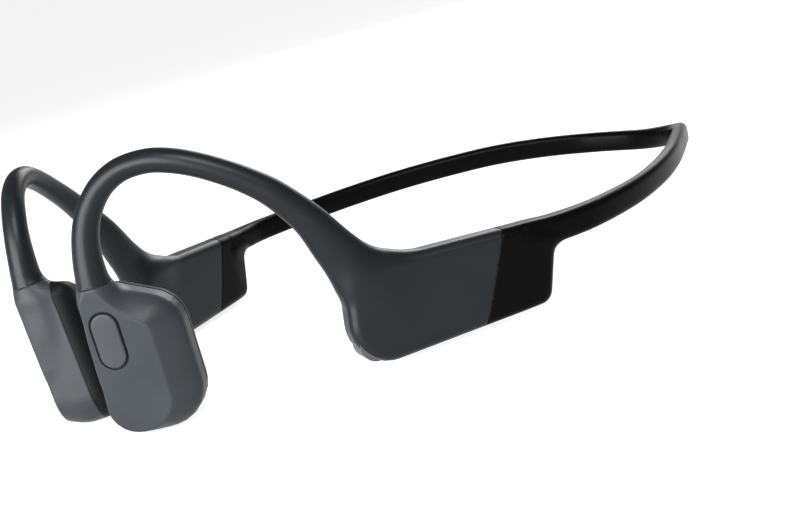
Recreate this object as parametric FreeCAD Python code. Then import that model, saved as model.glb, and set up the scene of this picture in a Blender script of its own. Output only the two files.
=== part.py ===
import FreeCAD, Part
import math
import os

# Bone conduction headphones: two flexible ear hooks with a transducer pod at the front end and
# an electronics module at the rear end, joined by one springy neckband.
# Shapes are drawn in a band frame: +X is the wearer's left, -Y is the face side, +Z is up, and
# Z = 0 is the top edge of the modules.  settle() then turns the whole set to stand on its pods
# and modules, with the origin at the centre of the base.  The right side mirrors the left.

V = FreeCAD.Vector
os.makedirs("parts", exist_ok=True)

# ---- driving dimensions, mm and degrees
MODULE_X = 53.0            # module mid plane, half spacing at Y = 0
MODULE_TOE = 22.6          # modules converge towards the face by this angle
MODULE_T = 7.4             # module thickness
MODULE_SLOPE = 5.07        # slope of the module's bottom edge
BOTTOM_Z0 = -16.5          # height of the bottom edge at s = 0
SKIN = 0.8                 # soft cover over the module faces
SHELL = 0.7                # module chassis wall
BAND_H = 5.3               # neckband height
BAND_T = 3.0               # neckband thickness at the rear
WIRE_R = 0.5               # titanium spring wire radius
LEAD_R = 0.45              # jacketed lead radius
POD_ORIGIN = V(13.9, -68.9, 8.3)
POD_NORMAL = V(0.6647, -0.7341, -0.1387)   # outward normal of the pod's flat outer face
POD_REAR = V(0.743, 0.669, 0.0197)         # rearward direction across the pod
POD_UP = V(0.0784, -0.1162, 0.9901)        # up along the pod
FACET_T = 3.2              # flat outer face, along the pod normal
SEAM_T = -4.6              # joint between the hard housing and the soft pad
PAD_T = -8.4               # contact face of the pad
POD_LIP = 1.2              # housing wall behind the flat outer face
BUTTON_AT = (0.6, -11.2)   # button centre across and along the pod
BUTTON_W = 5.0
BUTTON_L = 10.8
BUTTON_GAP = 0.22
BUTTON_PROUD = 0.35
KEY_L = 6.2                # volume key length
KEY_W = 2.4
KEY_GAP = 0.18
KEY_PROUD = 0.9
KEY_S = {"volume_down_button": -29.4, "volume_up_button": -21.6}
PORT_L = 7.0               # charging face length
PORT_W = 3.2
PORT_S = -4.6              # charging face, light and microphone along the module
LIGHT_S = -14.2
LIGHT_R = 0.6
MIC_S = -16.4
MIC_R = 0.45
PIN_R = 0.5                # charging contacts, and how far each is from the middle
PIN_Y = 1.2
MAGNET_R = 0.55            # magnets of the charging face
MAGNET_Y = 2.6
COIL_C = (3.9, -17.6)      # transducer axis across and along the pod
YOKE_R = 5.9
CORE_R = 4.1
SETTLE_TILT = -5.07        # turn about X that puts pods and modules on the floor
SETTLE_MOVE = V(0.0, -15.81, 17.58)

# neckband centre line, left half, from inside the module to the rear middle
BAND_POINTS = [(53.8, 1.8, -2.65), (56.6, 8.6, -2.6), (58.5, 17.6, -2.05), (57.2, 31.4, -1.05),
               (53.1, 44.4, 0.15), (47.0, 56.6, 1.25), (39.5, 68.1, 1.95), (31.6, 79.1, 2.15),
               (23.1, 89.8, 1.35), (13.0, 98.9, -0.05), (0.0, 102.8, -1.05)]
BAND_THICK = [6.6, 5.8, 4.3, 3.2, 3.0, 3.0, 3.0, 3.0, 3.0, 3.0, 3.0]

# ear hook centre line from inside the module over the ear to the pod, with half height and
# half thickness of its oval section
HOOK_POINTS = [(41.6, -27.5, -9.0, 6.2, 3.3), (40.7, -30.5, -2.0, 5.8, 3.4),
               (40.3, -33.4, 4.2, 4.4, 3.4), (39.7, -36.3, 10.1, 3.3, 3.2),
               (38.8, -39.4, 14.1, 2.9, 2.8), (37.7, -42.4, 17.5, 2.65, 2.6),
               (35.9, -45.6, 20.4, 2.45, 2.45), (33.8, -48.9, 22.9, 2.35, 2.35),
               (31.2, -52.4, 25.2, 2.3, 2.3), (28.2, -55.9, 26.9, 2.3, 2.3),
               (25.2, -59.0, 27.6, 2.25, 2.25), (21.7, -62.3, 27.0, 2.25, 2.25),
               (18.8, -65.0, 24.9, 2.3, 2.3), (16.4, -66.9, 21.6, 2.4, 2.4),
               (14.8, -68.2, 17.5, 2.5, 2.5), (14.0, -68.8, 12.6, 2.75, 2.75),
               (13.82, -68.8, 7.3, 3.15, 3.05)]


# ---- frames
def settle(shape):
    s = shape.copy()
    s.rotate(V(0, 0, 0), V(1, 0, 0), SETTLE_TILT)
    s.translate(SETTLE_MOVE)
    return s


def mirrored(shape):
    return shape.mirror(V(0, 0, 0), V(1, 0, 0))


def in_module(shape):
    """Module frame: X outward across the thickness, Y rearward along the module, Z up."""
    s = shape.copy()
    s.rotate(V(0, 0, 0), V(0, 0, 1), -MODULE_TOE)
    s.translate(V(MODULE_X, 0, 0))
    return s


def to_module_frame(shape):
    s = shape.copy()
    s.translate(V(-MODULE_X, 0, 0))
    s.rotate(V(0, 0, 0), V(0, 0, 1), MODULE_TOE)
    return s


def pod_placement():
    """Pod frame: X outward through the flat face, Y rearward, Z up along the pod."""
    n, h, u, o = POD_NORMAL, POD_REAR, POD_UP, POD_ORIGIN
    rows = (n.x, h.x, u.x, o.x, n.y, h.y, u.y, o.y, n.z, h.z, u.z, o.z, 0, 0, 0, 1)
    return FreeCAD.Placement(FreeCAD.Matrix(*rows))


def in_pod(shape):
    s = shape.copy()
    s.Placement = pod_placement().multiply(s.Placement)
    return s


def to_pod_frame(shape):
    s = shape.copy()
    s.Placement = pod_placement().inverse().multiply(s.Placement)
    return s


def on_bottom(shape, s0):
    """Frame on the module's bottom edge at position s0, with Z pointing into the module."""
    s = shape.copy()
    s.rotate(V(0, 0, 0), V(1, 0, 0), MODULE_SLOPE)
    s.translate(V(0, s0, bottom_z(s0)))
    return s


def bottom_z(s0):
    return BOTTOM_Z0 + s0 * math.tan(math.radians(MODULE_SLOPE))


def put(name, shape):
    if shape.ShapeType == "Compound" and len(shape.Solids) == 1:
        shape = shape.Solids[0]
    settle(shape).exportStep("parts/" + name + ".step")
    print(name, len(shape.Solids), shape.isValid(), round(shape.Volume, 1))


def put_pair(name, shape):
    put(name + "_left", shape)
    put(name + "_right", mirrored(shape))


# ---- outline helpers
def rounded_face(corners, x):
    """Flat face in the plane X = x from (y, z, radius) corners."""
    pts = [V(x, c[0], c[1]) for c in corners]
    n = len(pts)
    ends = []
    for i in range(n):
        a = (pts[i - 1] - pts[i]).normalize()
        b = (pts[(i + 1) % n] - pts[i]).normalize()
        r = corners[i][2]
        half = a.getAngle(b) / 2
        cut = r / math.tan(half)
        mid = (a + b).normalize()
        centre = pts[i] + mid * (r / math.sin(half))
        ends.append((pts[i] + a * cut, centre - mid * r, pts[i] + b * cut))
    edges = []
    for i in range(n):
        edges.append(Part.Arc(*ends[i]).toShape())
        gap = (ends[(i + 1) % n][0] - ends[i][2]).Length
        if gap > 0.01:
            edges.append(Part.LineSegment(ends[i][2], ends[(i + 1) % n][0]).toShape())
    return Part.Face(Part.Wire(edges))


def slab(corners, x0, x1):
    return rounded_face(corners, x0).extrude(V(x1 - x0, 0, 0))


def soften(shape, radius, keep):
    """Round the edges picked by keep, stepping the radius down until the solid is sound."""
    edges = [e for e in shape.Edges if keep(e)]
    for f in (1.0, 0.8, 0.6, 0.4, 0.2):
        try:
            out = shape.makeFillet(radius * f, edges)
        except Exception:
            continue
        if out.isValid() and len(out.Solids) == 1:
            return out.Solids[0]
    return shape


def capsule(length, width, z0, z1):
    """Prism with a stadium outline: length along Y, width along X, from z0 to z1."""
    r = width / 2
    k = length / 2 - r
    edges = [Part.Arc(V(r, k, z0), V(0, k + r, z0), V(-r, k, z0)).toShape(),
             Part.LineSegment(V(-r, k, z0), V(-r, -k, z0)).toShape(),
             Part.Arc(V(-r, -k, z0), V(0, -k - r, z0), V(r, -k, z0)).toShape(),
             Part.LineSegment(V(r, -k, z0), V(r, k, z0)).toShape()]
    return Part.Face(Part.Wire(edges)).extrude(V(0, 0, z1 - z0))


def spline(points):
    c = Part.BSplineCurve()
    c.interpolate([V(*p) for p in points])
    return c


def rod(points, radius):
    """Round rod along a smooth line through the points."""
    c = spline(points)
    t = c.tangent(c.FirstParameter)[0]
    ring = Part.Wire(Part.makeCircle(radius, c.value(c.FirstParameter), t))
    return Part.Wire(c.toShape()).makePipeShell([ring], True, False)


def oval(centre, tangent, side, a, b):
    """Oval wire across the tangent: half size b along side, a the other way."""
    t = V(tangent).normalize()
    s = (side - t * side.dot(t)).normalize()
    u = t.cross(s)
    pts = []
    for i in range(16):
        w = 2 * math.pi * i / 16
        pts.append(centre + s * (b * math.cos(w)) + u * (a * math.sin(w)))
    c = Part.BSplineCurve()
    c.interpolate(pts, PeriodicFlag=True)
    return Part.Wire(c.toShape())


def squircle(t, yc, zc, a, b):
    """Smooth rounded outline in the pod frame at depth t."""
    pts = []
    for i in range(24):
        w = 2 * math.pi * i / 24
        c, s = math.cos(w), math.sin(w)
        y = yc + a * math.copysign(abs(c) ** 0.78, c)
        z = zc + b * math.copysign(abs(s) ** 0.78, s)
        pts.append(V(t, y, z))
    curve = Part.BSplineCurve()
    curve.interpolate(pts, PeriodicFlag=True)
    return Part.Wire(curve.toShape())


# ---- module outlines, (position along the module, height, corner radius)
REAR_CORNERS = [(9.5, 0.05, 0.5), (-40, 0.05, 0.5), (-40, bottom_z(-40), 0.5),
                (3.6, bottom_z(3.6), 3.0), (6.4, -5.35, 1.6), (9.5, -5.35, 0.5)]
FRONT_CORNERS = [(2.0, 0.15, 0.5), (-22.5, 0.3, 14.0), (-36.2, 9.0, 2.0), (-38.3, -2.0, 9.0),
                 (-38.0, bottom_z(-38.0), 7.5), (2.0, bottom_z(2.0), 0.5)]
CAVITY_CORNERS = [(3.0, -1.4, 1.0), (-29.5, -1.4, 3.0), (-35.0, -7.0, 3.0),
                  (-35.0, bottom_z(-35.0) + 1.2, 3.0), (1.6, bottom_z(1.6) + 1.2, 2.0)]
HOLLOW_CORNERS = [(2.2, -2.1, 0.5), (-29.2, -2.1, 2.4), (-34.3, -7.3, 2.4),
                  (-34.3, bottom_z(-34.3) + 1.9, 1.6), (0.9, bottom_z(0.9) + 1.9, 1.4)]
SEAM_TOP = (-3.7, 2.0)
SEAM_LOW = (-11.2, -19.5)


def seam_block(front):
    """Block on one side of the slanted joint between the grey and the black cover."""
    far = -90 if front else 90
    lean = (SEAM_TOP[0] - SEAM_LOW[0]) / (SEAM_TOP[1] - SEAM_LOW[1])
    pts = [V(-20, SEAM_TOP[0] + lean * (20 - SEAM_TOP[1]), 20),
           V(-20, SEAM_LOW[0] + lean * (-30 - SEAM_LOW[1]), -30),
           V(-20, far, -30), V(-20, far, 20)]
    pts.append(pts[0])
    return Part.Face(Part.makePolygon(pts)).extrude(V(40, 0, 0))


def module_cover(corners, front):
    half = MODULE_T / 2
    body = slab(corners, -half, half)
    body = soften(body, 2.4, lambda e: abs(abs(e.CenterOfMass.x) - half) < 0.01)
    return body.common(seam_block(front)).Solids[0]


def cavity():
    reach = MODULE_T / 2 - SKIN
    return slab(CAVITY_CORNERS, -reach, reach)


def key_holes():
    cuts = []
    for s0 in KEY_S.values():
        cuts.append(on_bottom(capsule(KEY_L + 2 * KEY_GAP, KEY_W + 2 * KEY_GAP, -3, 2.6), s0))
    return cuts


def port_hole():
    return on_bottom(capsule(PORT_L, PORT_W, -3, 2.2), PORT_S)


def small_holes():
    """Holes for the light pipe and the microphone."""
    light = on_bottom(Part.makeCylinder(LIGHT_R, 4, V(0, 0, -2)), LIGHT_S)
    mic = on_bottom(Part.makeCylinder(MIC_R, 4, V(0, 0, -2)), MIC_S)
    return [light, mic]


def hook_line():
    return [p[:3] for p in HOOK_POINTS]


def hook_loft():
    c = spline(hook_line())
    side = V(math.cos(math.radians(MODULE_TOE)), -math.sin(math.radians(MODULE_TOE)), 0)
    rings = []
    for p in HOOK_POINTS:
        at = V(*p[:3])
        t = c.tangent(c.parameter(at))[0]
        rings.append(oval(at, t, side, p[3], p[4]))
    return Part.makeLoft(rings, True, False)


def hook_wire():
    return rod(hook_line()[1:] + [(13.6, -68.5, 4.6)], WIRE_R)


def hook_lead():
    pts = [(p[0] + 1.15, p[1] - 0.48, p[2]) for p in hook_line()[1:] + [(13.6, -68.5, 4.6)]]
    return rod(pts, LEAD_R)


def ear_hook(side):
    body = in_module(module_cover(FRONT_CORNERS, True)).fuse(hook_loft())
    cuts = [in_module(cavity()), hook_wire(), hook_lead(), in_pod(pod_neck())]
    if side == "right":
        cuts += [in_module(k) for k in key_holes() + small_holes()]
    for c in cuts:
        body = body.cut(c)
    return body.removeSplitter()


# ---- neckband
def band_line(lift=0.0):
    left = [(p[0], p[1], p[2] + lift) for p in BAND_POINTS]
    right = [(-p[0], p[1], p[2]) for p in left[:-1]]
    return left + right[::-1]


def band_section(centre, tangent, thick):
    t = V(tangent).normalize()
    out = t.cross(V(0, 0, 1)).normalize()
    up = out.cross(t).normalize()
    a, b, r = thick / 2, BAND_H / 2, min(1.15, thick * 0.42)
    edges = []
    spots = [(a, b), (-a, b), (-a, -b), (a, -b)]
    ends = []
    for i in range(4):
        p = V(spots[i][0], spots[i][1], 0)
        q0 = V(spots[i - 1][0], spots[i - 1][1], 0)
        q1 = V(spots[(i + 1) % 4][0], spots[(i + 1) % 4][1], 0)
        da = (q0 - p).normalize()
        db = (q1 - p).normalize()
        c = p + (da + db) * r
        mid = c - (da + db).normalize() * r
        ends.append([p + da * r, mid, p + db * r])
    world = [[centre + out * w.x + up * w.y for w in e] for e in ends]
    for i in range(4):
        edges.append(Part.Arc(*world[i]).toShape())
        edges.append(Part.LineSegment(world[i][2], world[(i + 1) % 4][0]).toShape())
    return Part.Wire(edges)


def band_loft():
    pts = band_line()
    c = spline(pts)
    thick = BAND_THICK + BAND_THICK[-2::-1]
    rings = []
    for p, w in zip(pts, thick):
        at = V(*p)
        rings.append(band_section(at, c.tangent(c.parameter(at))[0], w))
    return Part.makeLoft(rings, True, False)


def band_wire():
    return rod(band_line(0.7), WIRE_R)


def band_lead():
    return rod(band_line(-0.9), LEAD_R)


def neckband_sleeve():
    end = in_module(module_cover(REAR_CORNERS, False))
    body = band_loft().fuse([end, mirrored(end)])
    hollow = in_module(cavity())
    port = in_module(port_hole())
    for c in (hollow, mirrored(hollow), band_wire(), band_lead(), mirrored(port)):
        body = body.cut(c)
    return body.removeSplitter()


# ---- module chassis and electronics, in the module frame
def chassis_half(side, outer):
    reach = MODULE_T / 2 - SKIN
    body = cavity().cut(slab(HOLLOW_CORNERS, -reach + SHELL, reach - SHELL))
    cuts = [to_module_frame(hook_wire()), to_module_frame(hook_lead()),
            to_module_frame(band_wire()), to_module_frame(band_lead())]
    if side == "right":
        cuts += key_holes() + small_holes() + [port_hole()]
    for c in cuts:
        body = body.cut(c)
    x0 = 0 if outer else -20
    body = body.common(Part.makeBox(20, 80, 60, V(x0, -60, -40)))
    return body.Solids[0]


def volume_key():
    body = capsule(KEY_L, KEY_W, -KEY_PROUD, 2.4)
    body = soften(body, 0.45, lambda e: abs(e.CenterOfMass.z + KEY_PROUD) < 0.01)
    flange = capsule(KEY_L + 1.0, KEY_W + 1.0, 2.15, 2.75)
    return body.fuse(flange).removeSplitter()


def key_switch():
    base = Part.makeBox(2.4, 3.6, 1.0, V(-1.2, -1.8, 3.6))
    stem = Part.makeCylinder(0.7, 0.5, V(0, 0, 3.15))
    return base.fuse(stem).removeSplitter()


def main_board():
    body = slab([(-2.5, -3.4, 1.0), (-26.0, -3.4, 1.5), (-33.0, -8.5, 1.5),
                 (-33.0, bottom_z(-33.0) + 4.7, 0.6), (-2.5, bottom_z(-2.5) + 4.7, 0.6)], -0.4, 0.4)
    for s0 in KEY_S.values():
        body = body.cut(on_bottom(Part.makeBox(3.0, 4.0, 3.0, V(-1.5, -2.0, 2.0)), s0))
    return body.Solids[0]


def chip(s0, z0, length, height, thick):
    body = Part.makeBox(thick, length, height, V(0.4, s0, z0))
    return soften(body, 0.12, lambda e: abs(e.CenterOfMass.x - 0.4 - thick) < 0.01)


def charging_port():
    body = capsule(PORT_L, PORT_W, 0.15, 2.2)
    body = body.fuse(capsule(PORT_L + 1.0, PORT_W + 0.7, 2.2, 2.9)).removeSplitter()
    for way in (-1, 1):
        body = body.cut(Part.makeCylinder(PIN_R, 4, V(0, way * PIN_Y, 0)))
        body = body.cut(Part.makeCylinder(MAGNET_R, 1.4, V(0, way * MAGNET_Y, 0.6)))
    return body


def battery_cell():
    body = slab([(-13.5, -3.2, 1.2), (-28.0, -3.2, 1.2), (-33.2, -8.6, 1.2),
                 (-33.2, bottom_z(-33.2) + 3.2, 1.2), (-13.5, bottom_z(-13.5) + 2.6, 1.2)], -2.0, 2.0)
    return soften(body, 0.7, lambda e: abs(abs(e.CenterOfMass.x) - 2.0) < 0.01)


def battery_board():
    return slab([(-1.5, -3.2, 0.6), (-12.6, -3.2, 0.6), (-12.6, bottom_z(-12.6) + 2.8, 0.6),
                 (-1.5, bottom_z(-1.5) + 2.8, 0.6)], -0.4, 0.4)


# ---- pod, in the pod frame
def pod_outer():
    return Part.makeLoft([squircle(FACET_T, 2.4, -16.9, 6.1, 12.6),
                          squircle(0.6, 3.9, -16.8, 8.4, 13.7),
                          squircle(SEAM_T, 4.4, -16.9, 9.3, 14.2)], True, False)


def pod_inner():
    return Part.makeLoft([squircle(FACET_T - POD_LIP, 3.0, -16.9, 6.2, 12.2),
                          squircle(SEAM_T - 0.01, 4.4, -16.9, 8.2, 13.1)], True, False)


def pod_neck():
    rings = [oval(V(0.05, 0.25, -1.0), V(0, 0, 1), V(1, 0, 0), 3.15, 3.05),
             oval(V(0.0, 0.6, -4.0), V(0, 0, 1), V(1, 0, 0), 4.2, 3.2),
             oval(V(-0.4, 1.8, -9.0), V(0, 0, 1), V(1, 0, 0), 5.6, 3.2)]
    return Part.makeLoft(rings, True, False)


def button_shape(length, width, x0, x1):
    k = (length - width) / 2
    r = width / 2
    edges = [Part.Arc(V(x0, -r, k), V(x0, 0, k + r), V(x0, r, k)).toShape(),
             Part.LineSegment(V(x0, r, k), V(x0, r, -k)).toShape(),
             Part.Arc(V(x0, r, -k), V(x0, 0, -k - r), V(x0, -r, -k)).toShape(),
             Part.LineSegment(V(x0, -r, -k), V(x0, -r, k)).toShape()]
    s = Part.Face(Part.Wire(edges)).extrude(V(x1 - x0, 0, 0))
    s.translate(V(0, BUTTON_AT[0], BUTTON_AT[1]))
    return s


def pod_housing(side):
    body = pod_outer().fuse(pod_neck()).cut(pod_inner())
    body = body.cut(to_pod_frame(hook_wire())).cut(to_pod_frame(hook_lead()))
    if side == "left":
        body = body.cut(button_shape(BUTTON_L + 2 * BUTTON_GAP, BUTTON_W + 2 * BUTTON_GAP, 1.0, 6.0))
        body = body.cut(button_shape(BUTTON_L + 1.9, BUTTON_W + 1.7, 0.4, FACET_T - POD_LIP))
    return body.removeSplitter()


def contact_pad():
    outer = Part.makeLoft([squircle(SEAM_T, 4.4, -16.9, 9.3, 14.2),
                           squircle(-6.6, 4.5, -16.9, 8.9, 13.8),
                           squircle(PAD_T, 4.6, -16.9, 6.6, 11.6)], True, False)
    inner = Part.makeLoft([squircle(SEAM_T, 4.4, -16.9, 8.2, 13.1),
                           squircle(-6.5, 4.5, -16.9, 7.8, 12.7),
                           squircle(PAD_T + 0.9, 4.6, -16.9, 6.2, 11.2)], True, False)
    return outer.cut(inner).removeSplitter()


def disc(r, x0, x1):
    return Part.makeCylinder(r, x1 - x0, V(x0, COIL_C[0], COIL_C[1]), V(1, 0, 0))


def ring(r0, r1, x0, x1):
    return disc(r1, x0, x1).cut(disc(r0, x0 - 0.01, x1 + 0.01))


def transducer():
    yoke = disc(YOKE_R, -3.4, 0.4).cut(disc(YOKE_R - 0.5, -3.41, -0.4))
    return {"transducer_yoke": yoke,
            "transducer_magnet": disc(CORE_R, -2.6, -0.4),
            "transducer_plate": disc(CORE_R, -3.2, -2.6),
            "voice_coil": ring(CORE_R + 0.3, YOKE_R - 0.8, -5.0, -2.4),
            "spring_plate": ring(1.2, YOKE_R + 0.9, -5.3, -5.0),
            "drive_plate": disc(YOKE_R - 0.3, -7.3, -5.3)}


def multifunction_button():
    cap = button_shape(BUTTON_L, BUTTON_W, 1.2, FACET_T + BUTTON_PROUD)
    cap = soften(cap, 0.35, lambda e: abs(e.CenterOfMass.x - FACET_T - BUTTON_PROUD) < 0.01)
    flange = button_shape(BUTTON_L + 1.2, BUTTON_W + 1.0, 1.15, 1.7)
    return cap.fuse(flange).removeSplitter()


def button_board():
    return button_shape(12.4, 5.6, 0.45, 0.75)


def button_dome():
    return Part.makeCylinder(1.6, 0.1, V(0.75, BUTTON_AT[0], BUTTON_AT[1]), V(1, 0, 0))


def build():
    put("ear_hook_left", ear_hook("left"))
    put("ear_hook_right", mirrored(ear_hook("right")))
    put_pair("hook_wire", hook_wire())
    put_pair("hook_lead", hook_lead())
    put("neckband_sleeve", neckband_sleeve())
    put("neckband_wire", band_wire())
    put("neckband_lead", band_lead())
    for side, flip in (("left", False), ("right", True)):
        for name, outer in (("module_lid", True), ("module_tray", False)):
            half = in_module(chassis_half(side, outer))
            put(name + "_" + side, mirrored(half) if flip else half)
        pod = in_pod(pod_housing(side))
        put("pod_housing_" + side, mirrored(pod) if flip else pod)
    put_pair("contact_pad", in_pod(contact_pad()))
    for name, shape in transducer().items():
        put_pair(name, in_pod(shape))
    put("multifunction_button", in_pod(multifunction_button()))
    put("button_board", in_pod(button_board()))
    put("button_dome", in_pod(button_dome()))
    put("battery_cell", in_module(battery_cell()))
    put("battery_board", in_module(battery_board()))
    right = {"main_board": main_board(), "audio_chip": chip(-20.0, -11.5, 5.0, 5.0, 0.9),
             "memory_chip": chip(-12.0, -9.5, 3.2, 3.2, 0.7),
             "antenna": chip(-28.0, -8.0, 6.0, 2.2, 1.1),
             "charging_port": on_bottom(charging_port(), PORT_S),
             "status_light": on_bottom(Part.makeCylinder(LIGHT_R, 2.3, V(0, 0, 0.05)), LIGHT_S),
             "microphone": on_bottom(Part.makeBox(2.4, 1.8, 1.0, V(-1.2, -0.9, 2.0)), MIC_S)}
    for way, tag in ((-1, "front"), (1, "rear")):
        pin = Part.makeCylinder(PIN_R, 3.2, V(0, way * PIN_Y, 0.25))
        right["charging_pin_" + tag] = on_bottom(pin, PORT_S)
        magnet = Part.makeCylinder(MAGNET_R, 1.4, V(0, way * MAGNET_Y, 0.6))
        right["port_magnet_" + tag] = on_bottom(magnet, PORT_S)
    for name, s0 in KEY_S.items():
        right[name] = on_bottom(volume_key(), s0)
        right[name.replace("button", "switch")] = on_bottom(key_switch(), s0)
    for name, shape in right.items():
        put(name, mirrored(in_module(shape)))


build()
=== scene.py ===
import math

import bmesh
import bpy
import numpy as np
from mathutils import Matrix, Vector


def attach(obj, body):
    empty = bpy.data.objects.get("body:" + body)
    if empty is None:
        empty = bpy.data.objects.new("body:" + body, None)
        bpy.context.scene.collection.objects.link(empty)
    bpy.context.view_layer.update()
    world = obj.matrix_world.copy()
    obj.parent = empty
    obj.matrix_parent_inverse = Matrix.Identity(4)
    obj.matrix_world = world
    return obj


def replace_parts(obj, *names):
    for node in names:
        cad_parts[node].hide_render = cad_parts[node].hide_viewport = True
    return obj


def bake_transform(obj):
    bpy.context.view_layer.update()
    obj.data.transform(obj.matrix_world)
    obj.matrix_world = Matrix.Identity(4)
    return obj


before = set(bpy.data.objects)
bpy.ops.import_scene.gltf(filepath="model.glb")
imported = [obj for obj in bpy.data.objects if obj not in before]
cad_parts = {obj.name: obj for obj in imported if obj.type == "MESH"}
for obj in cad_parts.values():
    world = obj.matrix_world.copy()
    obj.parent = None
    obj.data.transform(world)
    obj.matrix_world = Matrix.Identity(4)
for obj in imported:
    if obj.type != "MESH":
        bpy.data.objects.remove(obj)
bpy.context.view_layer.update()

# Bone conduction headphones, looks.  Shapes are worked out in millimetres in the band frame of
# part.py (+X the wearer's left, -Y the face side, Z = 0 the modules' top edge) as smooth distance
# fields, meshed, and then stood on the floor by to_row().  The right side mirrors the left.
# Along a module, s runs rearwards.  In a pod, t runs out through its flat face.

# ---- driving dimensions, mm and degrees, as in part.py
SETTLE_TILT = math.radians(-5.07)
SETTLE_MOVE = np.array([0.0, -15.81, 17.58])
MODULE_X = 53.0
MODULE_TOE = math.radians(22.6)
MODULE_HALF = 3.7
MODULE_SLOPE = math.radians(5.07)
BOTTOM_Z0 = -16.5
BAND_HALF_H = 2.65
POD_ORIGIN = np.array([13.9, -68.9, 8.3])
POD_AXES = np.array([[0.6647, -0.7341, -0.1387], [0.743, 0.669, 0.0197], [0.0784, -0.1162, 0.9901]])
FACET_T = 3.2              # depths across the pod: flat face, widest section, pad seam, pad
WIDEST_T = -2.2
SEAM_T = -4.6
PAD_T = -8.4
NECK_SEAM = -1.0           # height on the pod of the seam with the hook
NECK_REACH = 38.0          # how far from that seam the hook's surface is cut
BUTTON_AT = (0.6, -11.2)
BUTTON_SIZE = (5.0, 10.8)
BUTTON_GAP = 0.22
BUTTON_PROUD = 0.35
KEY_S = {"volume_down_button": -29.4, "volume_up_button": -21.6}
KEY_SIZE = (2.4, 6.2)
KEY_PROUD = 0.9
KEY_GAP = 0.18
PORT_S = -4.6
PORT_SIZE = (3.2, 7.0)
LIGHT_S = -14.2
LIGHT_R = 0.6
MIC_S = -16.4
MIC_R = 0.45
HOLE_DEPTH = 0.8
CAP_BOTTOM = 1.25
# bottom and top of the dark ring in the button's gap, whose colour paints the gap's shade
SHADE_RING_BOTTOM = 0.9
SHADE_RING_TOP = FACET_T - 0.22
CORE_START = 3.0           # y where the neckband's wire and lead come out of the module

# seams: (groove drawn in at the cut edge, lip turned inwards behind it)
NECK_CUT = (0.02, 0.4)
PAD_CUT = (0.08, 0.5)
MODULE_CUT = (0.06, 0.5)

# edge radii, crowns and how far a side is drawn in before its crown is added
BAND_EDGE = 1.3
BAND_CROWN = 0.25
BAND_INSET = 0.12
MODULE_EDGE = 1.9
MODULE_CROWN = 0.22
MODULE_CROWN_REACH = 7.0
MODULE_INSET = 0.15
TAPER = 0.9                # the module thins by this much over the taper's length to its rear
TAPER_START = -2.0
TAPER_LENGTH = 9.0
PAD_ROUNDING = 3.0
PAD_CURVE = 2.2
PAD_EDGE = 0.8
FACET_EDGE = 0.25
POD_SLOPE = 0.8            # keeps the pod's field from rising faster than distance does

# blends between the forms: heights, and the blend radius at each
HOOK_BLEND = ((-8, 1), (1.0, 5.5))
BAND_BLEND = ((-4, -1.5), (2.4, 0.3))
POD_BLEND = 3.2

# boxes that hold each form, and the boxes that are meshed
HOOK_BOX = ((4, -79, -22), (54, -18, 36))
MODULE_BOX = ((28, -48, -32), (72, 20, 12))
BAND_BOX = ((-20, -10, -10), (70, 112, 10))
POD_BOX = ((-4, -86, -34), (34, -44, 16))
POD_MESH = ((-3, -86, -26), (32, -50, 11))
HOOK_MESH = ((8, -74, -22), (62, 3, 33))
BAND_MESH = ((-3, -14, -21), (64, 108, 7))
FINE = 0.3
COARSE = 0.38
BLOCK = 4                  # grid steps in a block
BATCH = 1500               # blocks sampled at once
FAR = 9.0                  # stands for any distance that isn't worked out

# (x, y, z) along the band's middle, and its thickness at each point
BAND_POINTS = [(53.8, 1.8, -2.65), (56.6, 8.6, -2.6), (58.5, 17.6, -2.05), (57.2, 31.4, -1.05),
               (53.1, 44.4, 0.15), (47.0, 56.6, 1.25), (39.5, 68.1, 1.95), (31.6, 79.1, 2.15),
               (23.1, 89.8, 1.35), (13.0, 98.9, -0.05), (0.0, 102.8, -1.05)]
BAND_THICK = [6.6, 5.8, 4.3, 3.2, 3.0, 3.0, 3.0, 3.0, 3.0, 3.0, 3.0]
# (x, y, z, half depth, half width) along the hook, from the module to the pod
HOOK_POINTS = [(42.4, -25.6, -9.0, 5.2, 3.2), (41.3, -29.0, -2.0, 5.2, 3.3),
               (40.5, -32.9, 4.2, 4.2, 3.3), (39.7, -36.3, 10.1, 3.3, 3.2),
               (38.8, -39.4, 14.1, 2.9, 2.8), (37.7, -42.4, 17.5, 2.65, 2.6),
               (35.9, -45.6, 20.4, 2.45, 2.45), (33.8, -48.9, 22.9, 2.35, 2.35),
               (31.2, -52.4, 25.2, 2.3, 2.3), (28.2, -55.9, 26.9, 2.3, 2.3),
               (25.2, -59.0, 27.6, 2.25, 2.25), (21.7, -62.3, 27.0, 2.25, 2.25),
               (18.8, -65.0, 24.9, 2.3, 2.3), (16.4, -66.9, 21.6, 2.4, 2.4),
               (14.8, -68.2, 17.5, 2.5, 2.5), (14.0, -68.8, 12.6, 2.75, 2.75),
               (13.82, -68.8, 7.3, 3.15, 3.05), (13.6, -68.1, 3.0, 3.15, 3.1),
               (13.9, -66.6, -1.5, 4.3, 3.0), (14.8, -64.6, -6.5, 5.2, 2.8)]


def bottom_z(s):
    return BOTTOM_Z0 + s * math.tan(MODULE_SLOPE)


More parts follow.
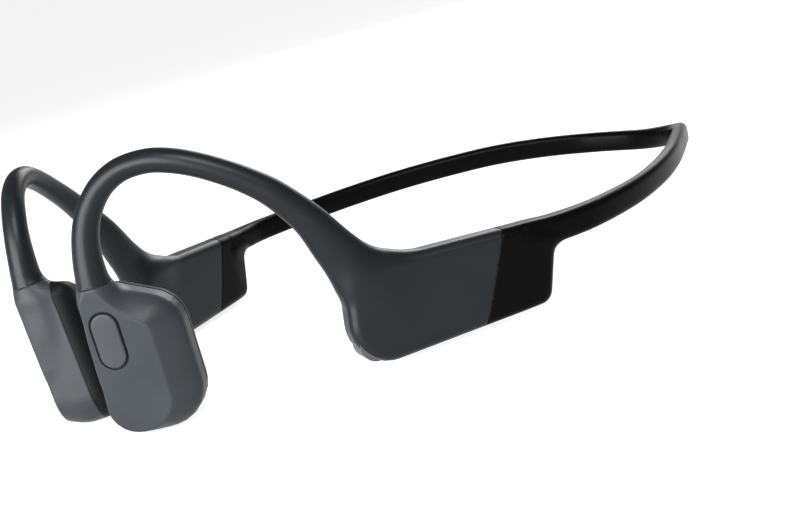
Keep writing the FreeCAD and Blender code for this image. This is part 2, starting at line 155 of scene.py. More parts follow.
# (position along the module or across the pod, height, corner radius)
MODULE_OUTLINE = [(7.2, 0.05, 2.0), (-25.0, 0.15, 3.0), (-35.2, -1.5, 4.0),
                  (-36.8, bottom_z(-36.8), 7.5), (4.5, bottom_z(4.5), 3.0), (8.1, -4.0, 1.0)]
FACET_OUTLINE = [(-2.3, -3.0, 1.0), (0.8, -3.8, 4.0), (8.8, -9.8, 3.0), (8.7, -30.0, 6.3),
                 (-4.3, -29.9, 5.2)]
WIDEST_OUTLINE = [(-3.3, -1.6, 2.5), (3.0, -2.8, 4.0), (13.9, -7.4, 7.0), (13.9, -31.8, 8.0),
                  (-5.2, -31.6, 6.0)]
SEAM_TOP = (-3.0, 0.15)    # ends of the seam between grey cover and black sleeve: s and height
SEAM_LOW = (-10.2, -17.5)

# name: (base colour, roughness, bump strength), with the other settings where there are any
LOOKS = {
    "grey": ("soft_touch_grey", (0.0048, 0.0062, 0.0076), 0.37, 0.3, {"Specular_IOR_Level": 0.15}),
    "shell": ("soft_touch_shell", (0.021, 0.024, 0.027), 0.38, 0.25, {"Specular_IOR_Level": 0.12}),
    "black": ("satin_black", (0.0012, 0.0012, 0.0013), 0.32, 0.25, {"Specular_IOR_Level": 0.035}),
    "pad": ("pad_silicone", (0.0038, 0.0044, 0.005), 0.46, 0.3, {"Specular_IOR_Level": 0.06}),
    "button": ("button_satin", (0.027, 0.030, 0.034), 0.34, 0.2, {"Specular_IOR_Level": 0.16}),
    "key": ("key_rubber", (0.003, 0.003, 0.0032), 0.5, 0.3, {"Specular_IOR_Level": 0.15}),
    "port": ("port_black", (0.010, 0.010, 0.011), 0.35, 0.15, {}),
    "gold": ("contact_gold", (0.80, 0.58, 0.25), 0.25, 0.1, {"metal": 1.0}),
    "titanium": ("titanium_wire", (0.52, 0.50, 0.47), 0.35, 0.2, {"metal": 1.0}),
    "steel": ("plated_steel", (0.60, 0.60, 0.61), 0.25, 0.1, {"metal": 1.0}),
    "copper": ("copper_winding", (0.75, 0.36, 0.18), 0.35, 0.4, {"metal": 1.0, "grain": 9000}),
    "board": ("solder_mask", (0.015, 0.075, 0.035), 0.35, 0.2, {}),
    "chip": ("moulded_chip", (0.02, 0.02, 0.022), 0.4, 0.3, {}),
    "foil": ("battery_foil", (0.60, 0.61, 0.63), 0.3, 0.5, {"metal": 1.0, "grain": 900}),
    "ceramic": ("fired_ceramic", (0.72, 0.71, 0.67), 0.5, 0.2, {}),
    "chassis": ("chassis_plastic", (0.03, 0.03, 0.032), 0.5, 0.3, {}),
    "lead": ("lead_jacket", (0.03, 0.03, 0.03), 0.45, 0.2, {}),
    "light": ("light_window", (0.75, 0.77, 0.8), 0.3, 0.1, {})}
CAD_LOOKS = {"titanium": ("hook_wire", "neckband_wire"), "lead": ("hook_lead", "neckband_lead"),
             "chassis": ("module_lid", "module_tray", "drive_plate"),
             "steel": ("transducer", "spring_plate", "port_magnet", "button_dome"),
             "copper": ("voice_coil",), "board": ("main_board", "battery_board", "button_board"),
             "chip": ("audio_chip", "memory_chip", "microphone", "volume_down_switch",
                      "volume_up_switch"),
             "foil": ("battery_cell",), "ceramic": ("antenna",), "port": ("charging_port",),
             "gold": ("charging_pin",), "light": ("status_light",),
             "grey": ("ear_hook",), "shell": ("pod_housing",), "pad": ("contact_pad",),
             "black": ("neckband_sleeve",), "button": ("multifunction_button",),
             "key": ("volume_down_button", "volume_up_button")}
# CAD node: (height on the band, radius, look, slot)
CORES = {"neckband_wire": (0.7, 0.5, "titanium", "titanium"),
         "neckband_lead": (-0.9, 0.45, "lead", "lead_jacket")}

# camera: band-frame place and directions, focal length, shift
CAMERA_AT = (254.46, -188.41, 41.42)
CAMERA_FORWARD = (-0.7794, 0.6053, -0.1615)
CAMERA_RIGHT = (0.6265, 0.7504, -0.2107)
LENS = 65.93
SHIFT = (0.0099, 0.0132)

# floor and lights, metres and watts
FLOOR_REACH = 6.0
FLOOR_FLAT = 2.0
FLOOR_RIM = 0.7
FLOOR_SPOKES = 96
FLOOR_RINGS = 24
FLOOR_GREY = 0.35
FLOOR_GLOW = 0.80
SKY = 0.22
# name: (place, aim, width, height, power)
LIGHTS = {"key": ((0.15, -0.85, 0.22), (0, -0.05, 0.03), 0.8, 0.5, 22.0),
          "front": ((0.47, -0.72, 0.24), (0, -0.05, 0.03), 0.12, 0.5, 2.5),
          "over": ((0.58, -0.27, 0.62), (0, -0.02, 0.03), 0.3, 0.3, 7.0),
          "rim": ((-0.45, 0.75, 0.45), (0, 0, 0.02), 0.6, 0.4, 5.0)}


# ---- frames
def to_row(p):
    """Band frame in mm to the row frame in metres."""
    c, s = math.cos(SETTLE_TILT), math.sin(SETTLE_TILT)
    turn = np.array([[1, 0, 0], [0, c, -s], [0, s, c]])
    return (np.asarray(p, float) @ turn.T + SETTLE_MOVE) / 1000


def module_coords(p):
    """Across the thickness, along the module, and up, from band-frame points."""
    c, s = math.cos(MODULE_TOE), math.sin(MODULE_TOE)
    x, y = p[:, 0] - MODULE_X, p[:, 1]
    return x * c - y * s, x * s + y * c, p[:, 2]


def from_module(t, s, z):
    """Band-frame point from module coordinates."""
    c, n = math.cos(MODULE_TOE), math.sin(MODULE_TOE)
    return np.array([MODULE_X + t * c + s * n, -t * n + s * c, z])


def pod_coords(p):
    """Depth, width and height in the pod, from band-frame points."""
    q = (p - POD_ORIGIN) @ POD_AXES.T
    return q[:, 0], q[:, 1], q[:, 2]


def from_pod(q):
    return np.asarray(q, float) @ POD_AXES + POD_ORIGIN


# ---- lines and outlines
def smooth_line(points, per_span=6):
    """Catmull-Rom line through points of any width."""
    p = np.array(points, float)
    p = np.vstack([2 * p[0] - p[1], p, 2 * p[-1] - p[-2]])
    out = []
    for i in range(1, len(p) - 2):
        for k in range(per_span):
            t = k / per_span
            a, b, c, d = p[i - 1], p[i], p[i + 1], p[i + 2]
            out.append(0.5 * (2 * b + (c - a) * t + (2 * a - 5 * b + 4 * c - d) * t * t
                              + (3 * b - a - 3 * c + d) * t ** 3))
    out.append(p[-2])
    return np.array(out)


def rounded_outline(corners, steps=7):
    """Closed polygon from (y, z, radius) corners with each corner rounded."""
    pts = [np.array(c[:2]) for c in corners]
    out = []
    for i, c in enumerate(corners):
        a = pts[i - 1] - pts[i]
        b = pts[(i + 1) % len(pts)] - pts[i]
        a, b = a / np.linalg.norm(a), b / np.linalg.norm(b)
        half = math.acos(np.clip(a @ b, -1, 1)) / 2
        mid = (a + b) / np.linalg.norm(a + b)
        centre = pts[i] + mid * c[2] / math.sin(half)
        start = pts[i] + a * c[2] / math.tan(half) - centre
        end = pts[i] + b * c[2] / math.tan(half) - centre
        for k in range(steps + 1):
            v = start * (1 - k / steps) + end * (k / steps)
            out.append(centre + v / np.linalg.norm(v) * c[2])
    return np.array(out)


def polygon_distance(y, z, poly):
    """Signed distance to a closed polygon, negative inside."""
    p = np.stack([y, z], -1)
    best = np.full(len(p), 1e9)
    inside = np.zeros(len(p), bool)
    for a, b in zip(poly, np.roll(poly, -1, 0)):
        e = b - a
        w = p - a
        t = np.clip((w @ e) / max(e @ e, 1e-12), 0, 1)
        d = w - t[:, None] * e
        best = np.minimum(best, (d * d).sum(1))
        crosses = (a[1] > z) != (b[1] > z)
        if abs(e[1]) > 1e-12:
            inside ^= crosses & (y < a[0] + e[0] * (z - a[1]) / e[1])
    return np.where(inside, -1, 1) * np.sqrt(best)


def smooth_min(a, b, k):
    h = np.clip(0.5 + 0.5 * (b - a) / k, 0, 1)
    return b * (1 - h) + a * h - k * h * (1 - h)


def smooth_max(a, b, k):
    return -smooth_min(-a, -b, k)


def nearest_on(line, p):
    """For each point: the index of the nearest segment, and how far along it."""
    a, e = line[:-1, :3], np.diff(line[:, :3], axis=0)
    length2 = (e * e).sum(1)
    best = np.full(len(p), 1e18)
    seg = np.zeros(len(p), int)
    along = np.zeros(len(p))
    for i in range(len(a)):
        w = p - a[i]
        t = np.clip(w @ e[i] / length2[i], 0, 1)
        d = w - t[:, None] * e[i]
        d2 = (d * d).sum(1)
        m = d2 < best
        best[m], seg[m], along[m] = d2[m], i, t[m]
    return seg, along


def at(line, seg, along):
    return line[seg] * (1 - along[:, None]) + line[seg + 1] * along[:, None]


# ---- distance fields, band frame, mm
HOOK = smooth_line(HOOK_POINTS)
BAND = smooth_line([p + (t / 2,) for p, t in zip(BAND_POINTS, BAND_THICK)]
                   + [(-p[0], p[1], p[2], t / 2)
                      for p, t in zip(BAND_POINTS[-2:-4:-1], BAND_THICK[-2:-4:-1])])
MODULE_POLY = rounded_outline(MODULE_OUTLINE)
FACET_POLY = rounded_outline(FACET_OUTLINE)
WIDEST_POLY = rounded_outline(WIDEST_OUTLINE)


def unit(v):
    return v / np.linalg.norm(v, axis=-1, keepdims=True)


def nearest_section(line, p):
    """Nearest place on a line: its row of values, its direction, and the way from it to p."""
    seg, along = nearest_on(line, p)
    c = at(line, seg, along)
    return c, unit(line[seg + 1, :3] - line[seg, :3]), p - c[:, :3]


def rounded(qx, qy, r, z=0.0):
    """Distance to a rounded rectangle, from distances to its sides drawn in by r."""
    out = np.sqrt(np.maximum(qx, 0) ** 2 + np.maximum(qy, 0) ** 2 + z ** 2)
    return out + np.minimum(np.maximum(qx, qy), 0) - r


def hook_field(p):
    c, t, d = nearest_section(HOOK, p)
    side = np.array([math.cos(MODULE_TOE), -math.sin(MODULE_TOE), 0])
    across = unit(side - t * (t @ side)[:, None])
    up = np.cross(t, across)
    x, y, z = (d * across).sum(1), (d * up).sum(1), (d * t).sum(1)
    a, b = c[:, 3], c[:, 4]
    r = np.sqrt((x / b) ** 2 + (y / a) ** 2 + (z / b) ** 2) + 1e-9
    return (r - 1) * np.minimum(a, b)


def band_field(p):
    """Rounded strip that stands on edge, with slightly crowned sides."""
    c, t, d = nearest_section(BAND, p)
    out = unit(np.cross(t, np.array([0, 0, 1.0])))
    up = np.cross(out, t)
    x, y, z = (d * out).sum(1), (d * up).sum(1), (d * t).sum(1)
    r = np.minimum(BAND_EDGE, c[:, 3] * 0.85)
    crown = BAND_CROWN * (1 - (y / BAND_HALF_H) ** 2)
    return rounded(np.abs(x) - c[:, 3] + BAND_INSET - crown + r, np.abs(y) - BAND_HALF_H + r, r, z)


def module_field(p):
    """Crowned slab of the module's outline, thinner towards its rear."""
    t, s, z = module_coords(p)
    d = polygon_distance(s, z, MODULE_POLY)
    r = MODULE_EDGE
    crown = MODULE_CROWN * np.clip(-d / MODULE_CROWN_REACH, 0, 1)
    half = MODULE_HALF - TAPER * np.clip((s - TAPER_START) / TAPER_LENGTH, 0, 1) ** 2
    return rounded(d + r, np.abs(t) - half + MODULE_INSET - crown + r, r)


def pod_field(p):
    """Flat face that swells to the widest section, then a pad with a rounded edge."""
    t, y, z = pod_coords(p)
    facet = polygon_distance(y, z, FACET_POLY)
    widest = polygon_distance(y, z, WIDEST_POLY)
    w = np.sin(np.clip((FACET_T - t) / (FACET_T - WIDEST_T), 0, 1) * math.pi / 2)
    d = facet * (1 - w) + widest * w
    depth = np.clip((SEAM_T - t) / (SEAM_T - PAD_T), 0, 1)
    d = d + PAD_ROUNDING * (1 - np.sqrt(np.maximum(1 - depth ** PAD_CURVE, 0)))
    d = smooth_max(d * POD_SLOPE, PAD_T - t, PAD_EDGE)
    return smooth_max(d, t - FACET_T, FACET_EDGE)


def only_in(field, box, p):
    """A field worked out inside its own box, far outside it."""
    low, high = box
    out = np.full(len(p), FAR)
    m = ((p > low) & (p < high)).all(1)
    if m.any():
        out[m] = field(p[m])
    return out


def whole_field(p):
    """Hook, module, band and pod blended, with the blend trimmed flush with the pod's face."""
    hook = only_in(hook_field, HOOK_BOX, p)
    module = only_in(module_field, MODULE_BOX, p)
    band = only_in(band_field, BAND_BOX, p)
    pod = only_in(pod_field, POD_BOX, p)
    f = smooth_min(hook, module, np.interp(p[:, 2], *HOOK_BLEND))
    f = smooth_min(f, band, np.interp(p[:, 2], *BAND_BLEND))
    f = smooth_min(f, pod, POD_BLEND)
    t, y, z = pod_coords(p)
    near_pod = (np.abs(y) < 25) & (z < 4) & (z > -40) & (np.abs(t) < 16)
    return np.where(near_pod, smooth_max(f, t - FACET_T, FACET_EDGE), f)


# ---- meshing
def lattice(n):
    """Every (i, j, k) of a grid of n cells."""
    return np.stack(np.meshgrid(*[np.arange(k) for k in n], indexing="ij"), -1).reshape(-1, 3)


CORNERS = lattice((2, 2, 2))


def sample_near(field, low, high, step):
    """The field on a grid: worked out in blocks near its surface, only its sign elsewhere."""
    blocks = np.ceil((high - low) / (step * BLOCK)).astype(int)
    index = lattice(blocks)
    middle = field(low + (index + 0.5) * BLOCK * step)
    signs = np.sign(middle.reshape(blocks)) * FAR
    for axis in range(3):
        signs = np.repeat(signs, BLOCK, axis)
    grid = np.pad(signs, (0, 1), mode="edge").astype(np.float32)
    near = index[np.abs(middle) < BLOCK * step * 1.35]
    offset = lattice([BLOCK + 1] * 3)
    for k in range(0, len(near), BATCH):
        idx = (near[k:k + BATCH, None] * BLOCK + offset[None]).reshape(-1, 3)
        grid[tuple(idx.T)] = field(low + idx * step)
    return grid


def surface_points(grid):
    """One point, in grid steps, in each cell the surface crosses, and every cell's number."""
    inside = grid < 0
    cells = [n - 1 for n in grid.shape]
    count = sum(inside[i:i + cells[0], j:j + cells[1], k:k + cells[2]].astype(np.int8)
                for i, j, k in CORNERS)
    crossed = np.argwhere((count > 0) & (count < 8))
    number = np.full(cells, -1, int)
    number[tuple(crossed.T)] = np.arange(len(crossed))
    total, hits = np.zeros((len(crossed), 3)), np.zeros(len(crossed))
    for a in CORNERS:
        for axis in np.flatnonzero(a == 0):
            e = a.copy()
            e[axis] = 1
            va = grid[tuple((crossed + a).T)]
            vb = grid[tuple((crossed + e).T)]
            m = (va < 0) != (vb < 0)
            t = np.where(m, va / np.where(m, va - vb, 1), 0)
            total += m[:, None] * (a + (e - a) * t[:, None])
            hits += m
    return crossed + total / hits[:, None], number


def quads_round(inside, number):
    """A quad round each grid edge that the surface crosses, facing outwards."""
    faces = []
    for axis, (u, v) in enumerate(((1, 2), (2, 0), (0, 1))):
        lo = [slice(1, -1)] * 3
        lo[axis] = slice(0, -1)
        hi = list(lo)
        hi[axis] = slice(1, None)
        a, c = inside[tuple(lo)], inside[tuple(hi)]
        du, dv = np.eye(3, dtype=int)[[u, v]]
        for flip, crossed in ((False, a & ~c), (True, c & ~a)):
            cell = np.argwhere(crossed) + 1
            cell[:, axis] -= 1
            quad = np.stack([number[tuple((cell - d).T)] for d in (du + dv, dv, 0 * du, du)], 1)
            quad = quad[(quad >= 0).all(1)]
            faces.append(quad[:, ::-1] if flip else quad)
    return np.vstack(faces)


def mesh_of(field, box, step):
    """Quad mesh of field = 0 inside a box, drawn onto the surface."""
    low, high = np.array(box, float)
    grid = sample_near(field, low, high, step)
    points, number = surface_points(grid)
    verts = low + points * step
    for _ in range(2):
        verts = onto(field, verts, step * 0.5)
    return verts, quads_round(grid < 0, number)


def onto(field, p, limit, h=0.04):
    """Points moved along the field's slope to its surface, by limit at most."""
    f = field(p)
    g = np.stack([field(p + h * d) - f for d in np.eye(3)], 1) / h
    g2 = np.maximum((g * g).sum(1), 0.15)
    move = -(f / g2)[:, None] * g
    size = np.linalg.norm(move, axis=1)[:, None]
    return p + move * np.minimum(1, limit / np.maximum(size, 1e-9))


def to_bmesh(verts, faces):
    mesh = bpy.data.meshes.new("field")
    mesh.from_pydata([tuple(v) for v in verts], [], [tuple(int(i) for i in f) for f in faces])
    bm = bmesh.new()
    bm.from_mesh(mesh)
    bpy.data.meshes.remove(mesh)
    return bm


def parts_of(geom, kind):
    return [g for g in geom if isinstance(g, kind)]


def with_edges(faces):
    """Faces with their edges and corners, as bmesh cuts want them."""
    edges = {e for f in faces for e in f.edges}
    return faces + list(edges) + list({v for e in edges for v in e.verts})


def keep_side(bm, point, normal, groove=0.0, lip=0.0, reach=None):
    """Cut by a plane and keep the side the normal points to.  The cut edge rolls inwards.
    Only what lies within reach of the point is cut."""
    faces = [f for f in bm.faces
             if reach is None or (f.calc_center_median() - Vector(point)).length < reach]
    cut = bmesh.ops.bisect_plane(bm, geom=with_edges(faces), dist=1e-5, plane_co=Vector(point),
                                 plane_no=Vector(normal), clear_inner=True)
    if not lip:
        return
    edges = parts_of(cut["geom_cut"], bmesh.types.BMEdge)
    n = Vector(normal).normalized()
    bm.normal_update()
    inward = {}
    for v in {v for e in edges for v in e.verts}:
        flat = v.normal - n * v.normal.dot(n)
        inward[v] = -flat.normalized() if flat.length > 1e-6 else Vector((0, 0, 0))
    faces = bmesh.ops.extrude_edge_only(bm, edges=edges)["geom"]
    for v in parts_of(faces, bmesh.types.BMVert):
        edge_vert = next(e.other_vert(v) for e in v.link_edges
                         if e.other_vert(v) in inward and e.calc_length() < 1e-7)
        v.co += inward[edge_vert] * lip
    for v, direction in inward.items():
        v.co += direction * groove


def make_object(name, bm, flip=False):
    """Band-frame bmesh to an object in the row frame."""
    for v in bm.verts:
        x = -v.co.x if flip else v.co.x
        v.co = Vector(to_row((x, v.co.y, v.co.z)))
    if flip:
        bmesh.ops.reverse_faces(bm, faces=bm.faces[:])
    for f in bm.faces:
        f.smooth = True
    mesh = bpy.data.meshes.new(name)
    bm.to_mesh(mesh)
    bm.free()
    obj = bpy.data.objects.new(name, mesh)
    bpy.context.scene.collection.objects.link(obj)
    return obj


def stadium(width, length, inset=0.0, steps=12):
    """Stadium outline drawn in by inset, long way along y."""
    r, k = width / 2, (length - width) / 2
    out = []
    for way in (1, -1):
        for i in range(steps + 1):
            a = math.pi * i / steps
            out.append((way * (r - inset) * math.cos(a), way * (k + (r - inset) * math.sin(a))))
    return out


def stack(loops, close=True):
    """Bmesh through loops of points, with flat ends or, unclosed, back round to the first."""
    bm = bmesh.new()
    rows = [[bm.verts.new(p) for p in loop] for loop in loops]
    if not close:
        rows.append(rows[0])
    n = len(rows[0])
    for a, b in zip(rows, rows[1:]):
        for i in range(n):
            bm.faces.new((a[i], a[(i + 1) % n], b[(i + 1) % n], b[i]))
    if close:
        bm.faces.new(rows[0][::-1])
        bm.faces.new(rows[-1])
    bmesh.ops.recalc_face_normals(bm, faces=bm.faces[:])
    return bm


def capsule_bmesh(width, length, bottom, top, round_top, crown, steps=5):
    """Stadium prism along local z with a rounded and crowned top."""
    levels = [(0.0, bottom), (0.0, top - round_top)]
    for i in range(1, steps + 1):
        a = math.pi / 2 * i / steps
        levels.append((round_top * (1 - math.cos(a)), top - round_top * (1 - math.sin(a))))
    for share in (0.3, 0.55, 0.8):
        levels.append((round_top + (width / 2 - round_top) * share, top + crown * share))
    return stack([[(x, y, z) for x, y in stadium(width, length, inset)] for inset, z in levels])


def shade_ring_bmesh(width, length, gap, bottom, top):
    """Stadium ring for the bottom of a hole's gap, where its dark colour paints shade: inside it is
    width by length, and gap wide.
    """
    inside = stadium(width, length)
    outside = stadium(width, length, -gap)
    return stack([[(x, y, z) for x, y in loop] for loop, z in
                  ((inside, bottom), (inside, top), (outside, top), (outside, bottom))], False)


def place(bm, axes, origin):
    """Local x, y, z of a bmesh along the given band-frame axes."""
    m = np.array(axes, float)
    for v in bm.verts:
        v.co = Vector(np.array(v.co) @ m + np.array(origin, float))
    bmesh.ops.recalc_face_normals(bm, faces=bm.faces[:])
    return bm


def bottom_frame(s0):
    """Axes and origin on the module's bottom edge: across, along, and out of the module."""
    c, n = math.cos(MODULE_TOE), math.sin(MODULE_TOE)
    g = MODULE_SLOPE
    across = (c, -n, 0)
    along = (n * math.cos(g), c * math.cos(g), math.sin(g))
    out = (n * math.sin(g), c * math.sin(g), -math.cos(g))
    return (across, along, out), from_module(0, s0, bottom_z(s0))


def button_frame(t=0.0):
    """Axes and origin at the button: across, up, and out through the pod's flat face."""
    return (POD_AXES[1], POD_AXES[2], POD_AXES[0]), from_pod((t, *BUTTON_AT))


def on_bottom(bm, s0):
    return place(bm, *bottom_frame(s0))


def on_facet(bm):
    return place(bm, *button_frame())


def punch(bm, axes, origin, outline, depth):
    """Cut an outline through a nearly flat face and turn its rim inwards by depth."""
    axes, origin = np.array(axes, float), np.array(origin, float)
    outline = [p for i, p in enumerate(outline) if math.dist(p, outline[i - 1]) > 1e-4]
    spots = [Vector(np.array((x, y, 0.0)) @ axes + origin) for x, y in outline]
    out = Vector(axes[2])
    reach = max((p - Vector(origin)).length for p in spots) + 1.5
    bm.normal_update()
    faces = [f for f in bm.faces if (f.calc_center_median() - Vector(origin)).length < reach
             and f.normal.dot(out) > 0.3]
    for a, b in zip(spots, spots[1:] + spots[:1]):
        cut = bmesh.ops.bisect_plane(bm, geom=with_edges(faces), dist=1e-5, plane_co=a,
                                     plane_no=(b - a).cross(out))
        faces = parts_of(cut["geom"], bmesh.types.BMFace)
    centres = np.array([f.calc_center_median() for f in faces])
    local = (centres - origin) @ axes.T
    inside = polygon_distance(local[:, 0], local[:, 1], np.array(outline)) < 0
    doomed = [f for f, gone in zip(faces, inside) if gone]
    rim = {e for f in doomed for e in f.edges if any(g not in set(doomed) for g in e.link_faces)}
    bmesh.ops.delete(bm, geom=doomed, context="FACES_KEEP_BOUNDARY")
    skirt = bmesh.ops.extrude_edge_only(bm, edges=[e for e in rim if e.is_valid])["geom"]
    for v in parts_of(skirt, bmesh.types.BMVert):
        v.co -= out * depth


# ---- materials
def new_material(name, colour, rough, bump=0.0, grain=4000.0, vary=0.15, metal=0.0, **more):
    """Moulded surface: a fine grain in the bump and a slow drift in colour and roughness."""
    mat = bpy.data.materials.new(name)
    mat.use_nodes = True
    tree = mat.node_tree
    shader = tree.nodes["Principled BSDF"]
    coord = tree.nodes.new("ShaderNodeTexCoord")
    drift = tree.nodes.new("ShaderNodeTexNoise")
    drift.inputs["Scale"].default_value = 60
    drift.inputs["Detail"].default_value = 3
    ramp = tree.nodes.new("ShaderNodeValToRGB")
    low = [c * (1 - vary) for c in colour]
    high = [min(1, c * (1 + vary)) for c in colour]
    ramp.color_ramp.elements[0].color = (*low, 1)
    ramp.color_ramp.elements[1].color = (*high, 1)
    ramp.color_ramp.elements[0].position = 0.3
    ramp.color_ramp.elements[1].position = 0.7
    tree.links.new(coord.outputs["Object"], drift.inputs["Vector"])
    tree.links.new(drift.outputs["Fac"], ramp.inputs["Fac"])
    tree.links.new(ramp.outputs["Color"], shader.inputs["Base Color"])
    spread = tree.nodes.new("ShaderNodeMapRange")
    spread.inputs["To Min"].default_value = rough - 0.04
    spread.inputs["To Max"].default_value = rough + 0.04
    tree.links.new(drift.outputs["Fac"], spread.inputs["Value"])
    tree.links.new(spread.outputs["Result"], shader.inputs["Roughness"])
    shader.inputs["Metallic"].default_value = metal
    if bump:
        fine = tree.nodes.new("ShaderNodeTexNoise")
        fine.inputs["Scale"].default_value = grain
        fine.inputs["Detail"].default_value = 2
        node = tree.nodes.new("ShaderNodeBump")
        node.inputs["Strength"].default_value = bump
        node.inputs["Distance"].default_value = 0.00005
        tree.links.new(coord.outputs["Object"], fine.inputs["Vector"])
        tree.links.new(fine.outputs["Fac"], node.inputs["Height"])
        tree.links.new(node.outputs["Normal"], shader.inputs["Normal"])
    for key, value in more.items():
        shader.inputs[key.replace("_", " ")].default_value = value
    return mat


def dress(obj, mat):
    obj.data.materials.clear()
    obj.data.materials.append(mat)


def make_materials():
    return {key: new_material(name, colour, rough, bump, **more)
            for key, (name, colour, rough, bump, more) in LOOKS.items()}


def neck_plane():
    """Point and normal of the seam between hook and pod."""
    return from_pod((0, 0, NECK_SEAM)), POD_AXES[2]


def pad_plane():
    """Point and normal of the seam between the pod's shell and its pad."""
    return from_pod((SEAM_T, 0, 0)), POD_AXES[0]


def seam_plane():
    """Point and rearward normal of the seam between grey cover and black sleeve."""
    a = from_module(0, *SEAM_TOP)
    b = from_module(0, *SEAM_LOW)
    c = from_module(1, *SEAM_TOP)
    n = np.cross(b - a, c - a)
    n /= np.linalg.norm(n)
    if n[1] < 0:
        n = -n
    return a, n


# ---- pieces
def build_button(bm, mats):
    """Cut the button's hole in the left shell, and make its cap and a dark ring in the gap round it,
    which paints the gap's shade.
    """
    w, l = BUTTON_SIZE
    punch(bm, *button_frame(FACET_T), stadium(w, l, -2 * BUTTON_GAP), 0.5)
    cap = capsule_bmesh(w, l, CAP_BOTTOM, FACET_T + BUTTON_PROUD, 0.35, 0.05)
    cap = make_object("button_cap", on_facet(cap))
    dress(cap, mats["button"])
    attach(cap, "multifunction_button")
    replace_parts(cap, "multifunction_button")
    # painted shade: a dark ring just under the face fills the gap round the cap, so the gap reads
    # dark
    shade_ring = shade_ring_bmesh(w + 0.1, l + 0.1, 2 * BUTTON_GAP, SHADE_RING_BOTTOM, SHADE_RING_TOP)
    shade_ring = make_object("button_gap_shade_ring", on_facet(shade_ring))
    dress(shade_ring, mats["key"])
    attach(shade_ring, "left_arm")


def build_pod(side, mats, source):
    flip = side == "right"
    arm = side + "_arm"
    bm = to_bmesh(*source)
    point, normal = neck_plane()
    keep_side(bm, point, -normal, *NECK_CUT)
    point, normal = pad_plane()
    keep_side(bm, point, normal, *PAD_CUT)
    if side == "left":
        build_button(bm, mats)
    shell = make_object("pod_shell_" + side, bm, flip)
    dress(shell, mats["shell"])
    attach(shell, arm)
    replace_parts(shell, "pod_housing_" + side)
    bm = to_bmesh(*source)
    keep_side(bm, point, -normal, *PAD_CUT)
    pad = make_object("contact_pad_skin_" + side, bm, flip)
    dress(pad, mats["pad"])
    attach(pad, arm)
    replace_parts(pad, "contact_pad_" + side)


def build_hook(side, mats, source):
    flip = side == "right"
    bm = to_bmesh(*source)
    point, normal = neck_plane()
    keep_side(bm, point, normal, *NECK_CUT, NECK_REACH)
    point, normal = seam_plane()
    keep_side(bm, point, -normal, *MODULE_CUT)
    if side == "right":
        for s0 in KEY_S.values():
            punch(bm, *bottom_frame(s0), stadium(*KEY_SIZE, -KEY_GAP), HOLE_DEPTH)
        for s0, r in ((LIGHT_S, LIGHT_R), (MIC_S, MIC_R)):
            punch(bm, *bottom_frame(s0), stadium(2 * r, 2 * r), HOLE_DEPTH)
    cover = make_object("hook_cover_" + side, bm, flip)
    dress(cover, mats["grey"])
    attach(cover, side + "_arm")
    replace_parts(cover, "ear_hook_" + side)


def build_band(side, mats, source):
    flip = side == "right"
    bm = to_bmesh(*source)
    keep_side(bm, (0, 0, 0), (1, 0, 0))
    point, normal = seam_plane()
    keep_side(bm, point, normal, *MODULE_CUT)
    if side == "right":
        punch(bm, *bottom_frame(PORT_S), stadium(*PORT_SIZE), HOLE_DEPTH)
    sleeve = make_object("band_sleeve_" + side, bm, flip)
    dress(sleeve, mats["black"])
    return bend(sleeve)


def bend(obj):
    """Bake an object's placing into its mesh; nothing is bent."""
    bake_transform(obj)
    return obj


def tube_bmesh(line, radius, steps=12):
    """Round tube along a line of points."""
    tangents = unit(np.gradient(line, axis=0))
    loops = []
    for p, t in zip(line, tangents):
        out = unit(np.cross(t, (0, 0, 1.0)))
        up = np.cross(out, t)
        loops.append([tuple(p + radius * (out * math.cos(a) + up * math.sin(a)))
                      for a in (2 * math.pi * k / steps for k in range(steps))])
    return stack(loops)


def build_cores(mats):
    """The spring wire and the lead that run inside the neckband."""
    half = BAND[BAND[:, 1] > CORE_START][:, :3]
    half = half[half[:, 0] >= 0]
    for name, (lift, radius, look, slot) in CORES.items():
        for side in ("left", "right"):
            bm = tube_bmesh(half + np.array([0, 0, lift]), radius)
            core = make_object(name + "_core_" + side, bm, side == "right")
            dress(core, mats[look])
            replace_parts(bend(core), name)


def build_keys(mats):
    for name, s0 in KEY_S.items():
        bm = capsule_bmesh(KEY_SIZE[0], KEY_SIZE[1], -2.0, KEY_PROUD, 0.5, 0.06)
        key = make_object(name + "_cap", on_bottom(bm, s0), True)
        dress(key, mats["key"])
        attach(key, name)
        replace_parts(key, name)


def dress_cad(mats):
    for node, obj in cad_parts.items():
        key = next(k for k, starts in CAD_LOOKS.items() if node.startswith(starts))
        if not obj.material_slots:
            obj.data.materials.append(mats[key])
        for slot in obj.material_slots:
            slot.material = mats[key]


# ---- camera, floor and light
def build_camera():
    c, s = math.cos(SETTLE_TILT), math.sin(SETTLE_TILT)
    turn = Matrix(((1, 0, 0), (0, c, -s), (0, s, c)))
    forward = (turn @ Vector(CAMERA_FORWARD)).normalized()
    right = turn @ Vector(CAMERA_RIGHT)
    right = (right - forward * right.dot(forward)).normalized()
    up = right.cross(forward)
    cam = bpy.data.objects.new("camera", bpy.data.cameras.new("camera"))
    cam.data.sensor_width = 36
    cam.data.lens = LENS
    cam.data.shift_x, cam.data.shift_y = SHIFT
    cam.data.clip_start, cam.data.clip_end = 0.01, 20
    m = Matrix((right, up, -forward)).transposed().to_4x4()
    m.translation = Vector(to_row(CAMERA_AT))
    cam.matrix_world = m
    bpy.context.scene.collection.objects.link(cam)
    bpy.context.scene.camera = cam


def area_light(name, spot, aim, width, height, power):
    data = bpy.data.lights.new(name, "AREA")
    data.shape = "RECTANGLE"
    data.size, data.size_y = width, height
    data.energy = power
    obj = bpy.data.objects.new(name, data)
    obj.location = spot
    obj.rotation_euler = (Vector(aim) - Vector(spot)).to_track_quat("-Z", "Y").to_euler()
    bpy.context.scene.collection.objects.link(obj)


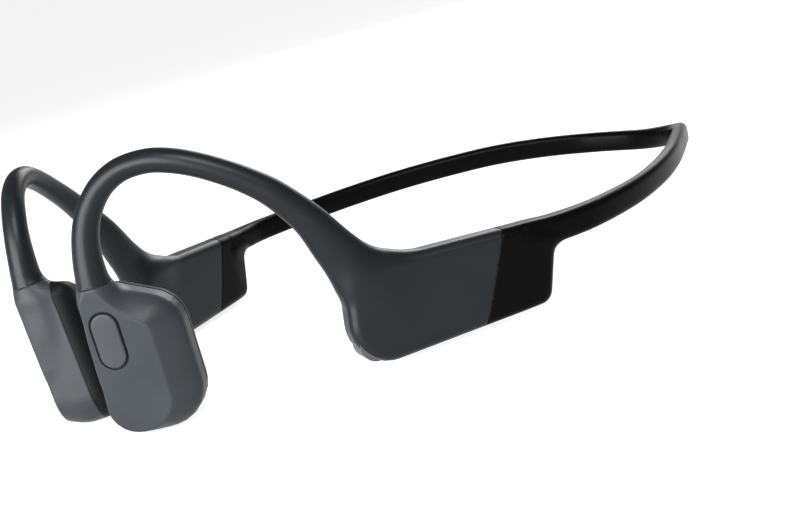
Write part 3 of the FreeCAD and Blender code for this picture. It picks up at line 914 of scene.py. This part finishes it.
def build_floor():
    """Round pale floor whose far rim lifts a little, so that it meets the sky out of sight."""
    bm = bmesh.new()
    loops = []
    for i in range(1, FLOOR_RINGS + 1):
        r = FLOOR_REACH * i / FLOOR_RINGS
        lift = FLOOR_RIM * max(0, (r - FLOOR_FLAT) / (FLOOR_REACH - FLOOR_FLAT)) ** 2
        turns = (2 * math.pi * k / FLOOR_SPOKES for k in range(FLOOR_SPOKES))
        loops.append([bm.verts.new((r * math.cos(a), r * math.sin(a), lift)) for a in turns])
    for inner, outer in zip(loops, loops[1:]):
        for k in range(FLOOR_SPOKES):
            n = (k + 1) % FLOOR_SPOKES
            bm.faces.new((inner[k], outer[k], outer[n], inner[n]))
    bm.faces.new(loops[0])
    mesh = bpy.data.meshes.new("floor")
    bm.to_mesh(mesh)
    bm.free()
    floor = bpy.data.objects.new("floor", mesh)
    bpy.context.scene.collection.objects.link(floor)
    paper = new_material("floor_paper", (FLOOR_GREY,) * 3, 0.9, vary=0.01,
                         Emission_Strength=FLOOR_GLOW, Emission_Color=(1, 1, 1, 1))
    floor.data.materials.append(paper)


def build_lights():
    world = bpy.data.worlds.new("studio")
    bpy.context.scene.world = world
    world.use_nodes = True
    world.node_tree.nodes["Background"].inputs["Color"].default_value = (1, 1, 1, 1)
    world.node_tree.nodes["Background"].inputs["Strength"].default_value = SKY
    for name, light in LIGHTS.items():
        area_light(name, *light)
    bpy.context.scene.view_settings.view_transform = "Standard"


def build():
    mats = make_materials()
    dress_cad(mats)
    pod = mesh_of(whole_field, POD_MESH, FINE)
    hook = mesh_of(whole_field, HOOK_MESH, COARSE)
    band = mesh_of(whole_field, BAND_MESH, COARSE)
    sleeves = []
    for side in ("left", "right"):
        build_pod(side, mats, pod)
        build_hook(side, mats, hook)
        sleeves.append(build_band(side, mats, band))
    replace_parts(sleeves[0], "neckband_sleeve")
    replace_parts(sleeves[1], "neckband_sleeve")
    build_cores(mats)
    build_keys(mats)
    build_camera()
    build_floor()
    build_lights()


build()
